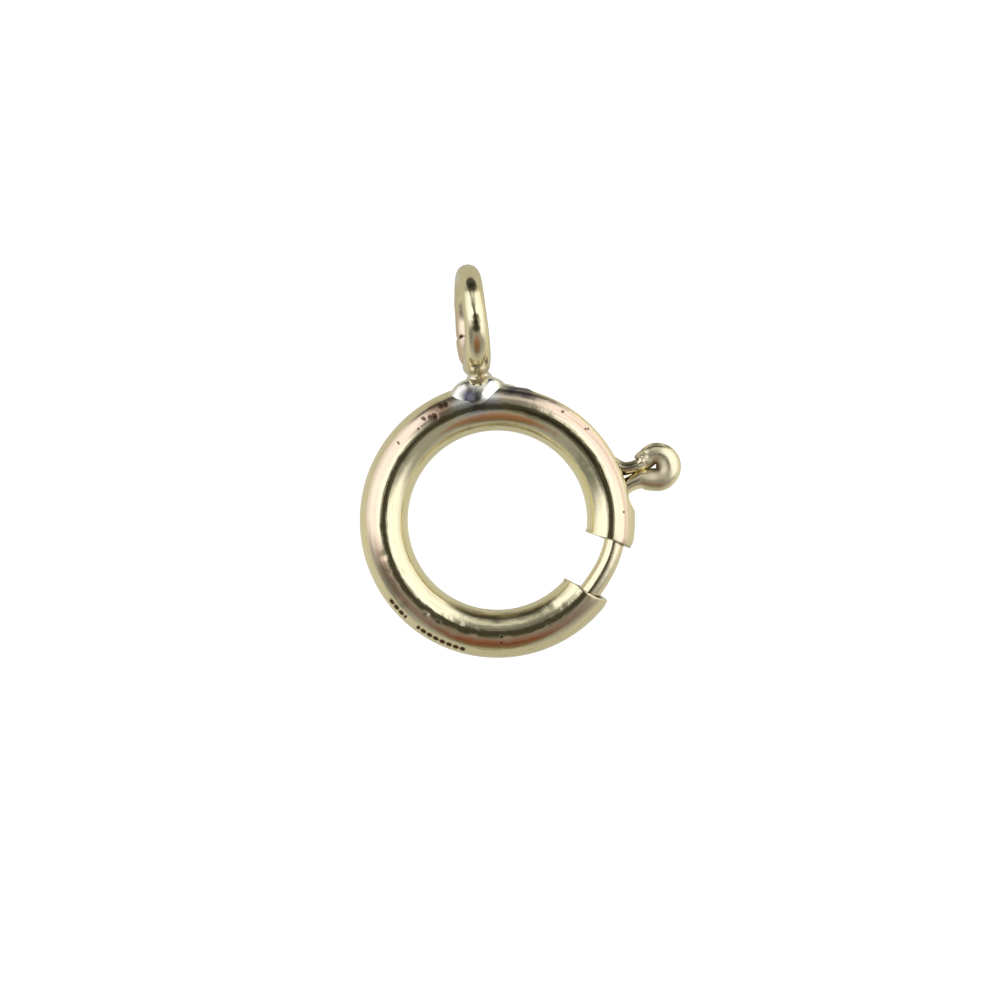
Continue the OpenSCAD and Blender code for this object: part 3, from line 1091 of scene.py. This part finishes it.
def open_front(drop, azimuth, high):
    """Where the tent is open in front, and what is seen there: grey, and something red-brown."""
    grey = bands(drop, [(12, 0.26), (24, 0.35), (60, 0.34), (72, 0.36), (80, 0.46), (92, 0.58)])
    post = times(window(azimuth, -164, -154, -147, -132), window(drop, 30, 42, 72, 84))
    grey = blend_colour(post, grey, (0.22, 0.23, 0.22))
    brown = bands(drop, [(24, (0.35, 0.32, 0.30)), (34, (0.37, 0.26, 0.21)),
                         (42, (0.34, 0.17, 0.11)), (50, (0.29, 0.14, 0.08)),
                         (60, (0.22, 0.13, 0.075)), (70, (0.20, 0.15, 0.10)),
                         (78, (0.36, 0.34, 0.29)), (88, (0.54, 0.53, 0.48))])
    taper = times(reckon("ABSOLUTE", minus(drop, 52)), 0.7)
    aside = plus(taper, reckon("ABSOLUTE", plus(azimuth, 90)))
    seen = blend_colour(ramp(aside, 20, 42, 1, 0), grey, brown)
    left_edge = plus(azimuth, ramp(drop, 38, 50, 0, 4), ramp(drop, 62, 76, 0, 5))
    right_edge = minus(azimuth, plus(ramp(drop, 50, 72, 0, 9), times(high, 16)))
    place = times(ramp(left_edge, -174, -154), ramp(right_edge, -43, -17, 1, 0))
    return place, seen


def camera_shade(x, y, z, azimuth):
    """Where the camera and its shade hang overhead."""
    level = larger(z, 0.02)
    aside = plus(reckon("DIVIDE", x, level), -0.005)
    ahead = plus(reckon("DIVIDE", y, level), 0.022)
    clipped = times(window(azimuth, -85, -65, -35, -15), 0.05)
    return ramp(plus(distance(aside, ahead), clipped), 0.195, 0.40, 1, 0)


def show(tree, kind, seen, mirrored):
    """Ends a tree: one surface for the camera and another for what the metal mirrors."""
    share = add(tree, "ShaderNodeLightPath").outputs["Is Camera Ray"]
    mixed = add(tree, "ShaderNodeMixShader",
                {0: share, 1: mirrored.outputs[0], 2: seen.outputs[0]})
    add(tree, kind, {"Surface": mixed.outputs[0]})


def turned_about(x, y):
    """Azimuth of a place or a way, in degrees."""
    return times(reckon("ARCTAN2", y, x), degrees(1))


def light_tent(world):
    """White tent round the clasp, with the dark camera overhead, as the metal reflects it."""
    world.use_nodes = True
    tree = world.node_tree
    tree.nodes.clear()
    way = add(tree, "ShaderNodeMapping",
              {"Vector": add(tree, "ShaderNodeTexCoord").outputs["Generated"],
               "Rotation": Matrix(photo_axes()).to_euler()}).outputs[0]
    x, y, z = add(tree, "ShaderNodeSeparateXYZ", {0: way}).outputs
    drop = times(reckon("ARCCOSINE", z), degrees(1))
    azimuth = turned_about(x, y)
    high = ramp(drop, 26, 44, 1, 0)
    shade = layered(tent_sides(drop, azimuth), backdrop(drop, azimuth, high),
                    open_front(drop, azimuth, high),
                    (camera_shade(x, y, z, azimuth), (0.048, 0.044, 0.027)))
    mirrored = add(tree, "ShaderNodeBackground", {"Color": shade})
    seen = add(tree, "ShaderNodeBackground", {"Color": (1, 1, 1, 1)})
    show(tree, "ShaderNodeOutputWorld", seen, mirrored)


def sheet_material():
    """White sheet, lit so brightly that only the deepest shade shows on it.

    What the metal mirrors of it is dimmer above and below the ring, and brighter at the right.
    """
    material = bpy.data.materials.new("White sheet")
    material.use_nodes = True
    tree = material.node_tree
    tree.nodes.clear()
    here = add(tree, "ShaderNodeTexCoord").outputs["Object"]
    tone = ramp(noise(here, 900.0), 0.3, 0.7, 0.97, 1.0)
    paper = add(tree, "ShaderNodeCombineColor", {0: tone, 1: tone, 2: tone}).outputs[0]
    lit = add(tree, "ShaderNodeEmission", {"Color": paper, "Strength": 0.88})
    soft = add(tree, "ShaderNodeBsdfDiffuse", {"Color": (0.5, 0.5, 0.5, 1)})
    seen = add(tree, "ShaderNodeAddShader", {0: lit.outputs[0], 1: soft.outputs[0]})
    x, y, _ = add(tree, "ShaderNodeSeparateXYZ", {0: here}).outputs
    reach = distance(x, y)
    azimuth = plus(turned_about(x, y), -degrees(PHOTO_TURN))
    ahead = reckon("DIVIDE", y, plus(reach, 1e-5))
    at_right = times(ramp(reach, 5 * MM, 9 * MM), window(azimuth, -25, 0, 55, 68), 0.15)
    light = plus(minus(1.12, times(ahead, ahead, 0.26)), at_right)
    mirrored = add(tree, "ShaderNodeEmission", {"Color": (0.62, 0.60, 0.53, 1), "Strength": light})
    show(tree, "ShaderNodeOutputMaterial", seen, mirrored)
    return material


class CLASP_OT_stage(bpy.types.Operator):
    """Lay the white sheet, raise the light tent and place the camera."""

    bl_idname = "clasp.stage"
    bl_label = "Sheet, light and camera"

    def execute(self, context):
        scene = context.scene
        bm = bmesh.new()
        bmesh.ops.create_grid(bm, x_segments=4, y_segments=4, size=1.5)
        bmesh.ops.translate(bm, vec=(0, 0, cad_box[0][2]), verts=bm.verts)
        sheet = put_in_scene(bm, "white_sheet", sheet_material())

        scene.world = bpy.data.worlds.new("Light tent")
        light_tent(scene.world)

        camera = bpy.data.cameras.new("Camera")
        camera.lens = 135
        camera.sensor_width = 36
        camera.clip_start = 0.002
        camera.clip_end = 20
        eye = bpy.data.objects.new("Camera", camera)
        scene.collection.objects.link(eye)
        right, up, back = photo_axes()
        away = PHOTO_WIDTH * camera.lens / camera.sensor_width * MM
        middle = -(right * RING_RIGHT + up * RING_UP) * MM
        eye.matrix_world = (Matrix.Translation(middle + back * away)
                            @ Matrix((right, up, back)).transposed().to_4x4())
        scene.camera = eye
        scene.view_settings.view_transform = "Standard"
        return {"FINISHED"}


class CLASP_PT_panel(bpy.types.Panel):
    """Sizes, colours and pieces of the clasp."""

    bl_idname = "CLASP_PT_panel"
    bl_label = "Spring ring clasp"
    bl_space_type = "VIEW_3D"
    bl_region_type = "UI"
    bl_category = "Clasp"

    def draw(self, context):
        for group in (context.scene.clasp_sizes, context.scene.clasp_colours):
            box = self.layout.box()
            for name in group.__annotations__:
                box.prop(group, name)
        column = self.layout.column()
        for operator in PIECES:
            column.operator(operator.bl_idname)


PIECES = (CLASP_OT_ring_tube, CLASP_OT_chain_loop, CLASP_OT_solder, CLASP_OT_tongue,
          CLASP_OT_spring, CLASP_OT_stage)
CLASSES = (ClaspSizes, ClaspColours, *PIECES, CLASP_PT_panel)


def register():
    for cls in CLASSES:
        bpy.utils.register_class(cls)
    bpy.types.Scene.clasp_sizes = PointerProperty(type=ClaspSizes)
    bpy.types.Scene.clasp_colours = PointerProperty(type=ClaspColours)


def unregister():
    del bpy.types.Scene.clasp_colours
    del bpy.types.Scene.clasp_sizes
    for cls in reversed(CLASSES):
        bpy.utils.unregister_class(cls)


def main():
    register()
    bpy.ops.clasp.ring_tube()
    bpy.ops.clasp.chain_loop()
    bpy.ops.clasp.solder()
    bpy.ops.clasp.tongue()
    bpy.ops.clasp.spring()
    bpy.ops.clasp.stage()


if __name__ == "__main__":
    main()
